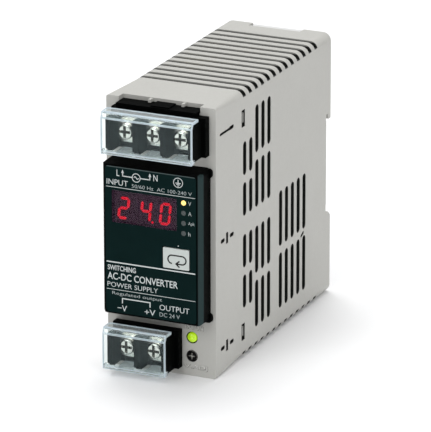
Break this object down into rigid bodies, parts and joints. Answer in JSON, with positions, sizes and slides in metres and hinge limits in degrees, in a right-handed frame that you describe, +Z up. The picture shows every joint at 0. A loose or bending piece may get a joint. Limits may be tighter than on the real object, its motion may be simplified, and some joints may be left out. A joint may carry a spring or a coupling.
{
  "type": "din rail power supply",
  "caption": "Narrow vented plastic case with a rail recess behind, clear-covered screw terminals, a digital meter panel, a lamp and a voltage adjuster in front.",
  "frame": {"origin": "centre of the underside of the overall box", "axes": "+X to the right seen from the front, +Y to the rear, towards the rail, +Z up"},
  "size_m": [0.04, 0.1084, 0.095],
  "materials": {
    "case_plastic": "fine matte moulded",
    "black_plastic": "semi-matte moulded",
    "printed_sheet": "satin printed film",
    "smoked_window": "smoked, smooth",
    "dark_plastic": "moulded",
    "grey_plastic": "satin",
    "circuit_board": "lacquered laminate",
    "clear_plastic": "clear moulded",
    "plated_metal": "nickel plated",
    "green_lens": "translucent lens, lit",
    "amber_lens": "translucent lens, lit",
    "clear_lens": "translucent lens, unlit",
    "spring_steel": "drawn wire",
    "glass_tube": "glass with end caps",
    "white_plastic": "satin moulded",
    "yellow_plastic": "moulded box",
    "ferrite": "sintered",
    "copper_wire": "enamelled",
    "bobbin_plastic": "moulded",
    "winding_tape": "polyester tape",
    "heatsink_aluminium": "extruded",
    "capacitor_sleeve": "shrink sleeve"
  },
  "bodies": {
    "case": {"main_case": "case_plastic", "side_cover": "case_plastic", "input_terminal_block": "black_plastic", "output_terminal_block": "black_plastic", "display_bezel": "black_plastic", "front_sheet": "printed_sheet", "display_window": "smoked_window", "digit_module": "dark_plastic", "mode_switch": "dark_plastic", "display_board": "circuit_board", "meter_board": "circuit_board", "main_board": "circuit_board", "adjuster_board": "circuit_board", "input_terminal_plates": "plated_metal", "output_terminal_plates": "plated_metal", "output_lamp": "green_lens", "trimmer_body": "dark_plastic", "slider_spring": "spring_steel", "fuse": "glass_tube", "upper_clip": "white_plastic", "filter_capacitor": "yellow_plastic", "line_choke_core": "ferrite", "line_choke_windings": "copper_wire", "bridge_rectifier": "dark_plastic", "bulk_capacitor": "capacitor_sleeve", "transformer_core": "ferrite", "transformer_bobbin": "bobbin_plastic", "transformer_winding": "winding_tape", "primary_heatsink": "heatsink_aluminium", "secondary_heatsink": "heatsink_aluminium", "switching_transistor": "dark_plastic", "output_rectifier": "dark_plastic", "heatsink_screws": "plated_metal", "output_capacitor_1": "capacitor_sleeve", "output_capacitor_2": "capacitor_sleeve", "output_choke_core": "ferrite", "output_choke_winding": "copper_wire", "control_chip": "dark_plastic", "isolators": "dark_plastic", "display_connector": "dark_plastic", "indicator_1": "amber_lens", "indicator_2": "clear_lens", "indicator_3": "clear_lens", "indicator_4": "clear_lens", "live_washer": "plated_metal", "neutral_washer": "plated_metal", "earth_washer": "plated_metal", "minus_washer": "plated_metal", "plus_washer": "plated_metal"},
    "input_cover_body": {"input_cover": "clear_plastic"},
    "output_cover_body": {"output_cover": "clear_plastic"},
    "button": {"mode_button": "grey_plastic", "switch_plunger": "grey_plastic"},
    "adjuster": {"trimmer_rotor": "black_plastic"},
    "slider": {"rail_slider": "black_plastic"},
    "live_clamp": {"live_screw": "plated_metal"},
    "neutral_clamp": {"neutral_screw": "plated_metal"},
    "earth_clamp": {"earth_screw": "plated_metal"},
    "minus_clamp": {"minus_screw": "plated_metal"},
    "plus_clamp": {"plus_screw": "plated_metal"}
  },
  "joints": [
    {"name": "input_cover_pull", "type": "slide", "parent": "case", "child": "input_cover_body", "axis": [0, -1, 0], "range_m": [0, 0.02]},
    {"name": "output_cover_pull", "type": "slide", "parent": "case", "child": "output_cover_body", "axis": [0, -1, 0], "range_m": [0, 0.02]},
    {"name": "mode_button_press", "type": "slide", "parent": "case", "child": "button", "axis": [0, 1, 0], "range_m": [0, 0.0005], "stiffness_N_per_m": 900, "springref_m": -0.0008},
    {"name": "voltage_adjust", "type": "hinge", "parent": "case", "child": "adjuster", "pos_m": [0.0112, -0.04285, 0.0071], "axis": [0, -1, 0], "range_deg": [-130, 130]},
    {"name": "rail_release", "type": "slide", "parent": "case", "child": "slider", "axis": [0, 0, -1], "range_m": [0, 0.008], "stiffness_N_per_m": 500, "springref_m": -0.008, "deforming": ["slider_spring"]},
    {"name": "live_screw_turn", "type": "hinge", "parent": "case", "child": "live_clamp", "pos_m": [-0.0097, -0.04925, 0.0854], "axis": [0, -1, 0], "continuous": true},
    {"name": "neutral_screw_turn", "type": "hinge", "parent": "case", "child": "neutral_clamp", "pos_m": [0.0004, -0.04925, 0.0854], "axis": [0, -1, 0], "continuous": true},
    {"name": "earth_screw_turn", "type": "hinge", "parent": "case", "child": "earth_clamp", "pos_m": [0.0105, -0.04925, 0.0854], "axis": [0, -1, 0], "continuous": true},
    {"name": "minus_screw_turn", "type": "hinge", "parent": "case", "child": "minus_clamp", "pos_m": [-0.0097, -0.04925, 0.0096], "axis": [0, -1, 0], "continuous": true},
    {"name": "plus_screw_turn", "type": "hinge", "parent": "case", "child": "plus_clamp", "pos_m": [0.0004, -0.04925, 0.0096], "axis": [0, -1, 0], "continuous": true}
  ]
}
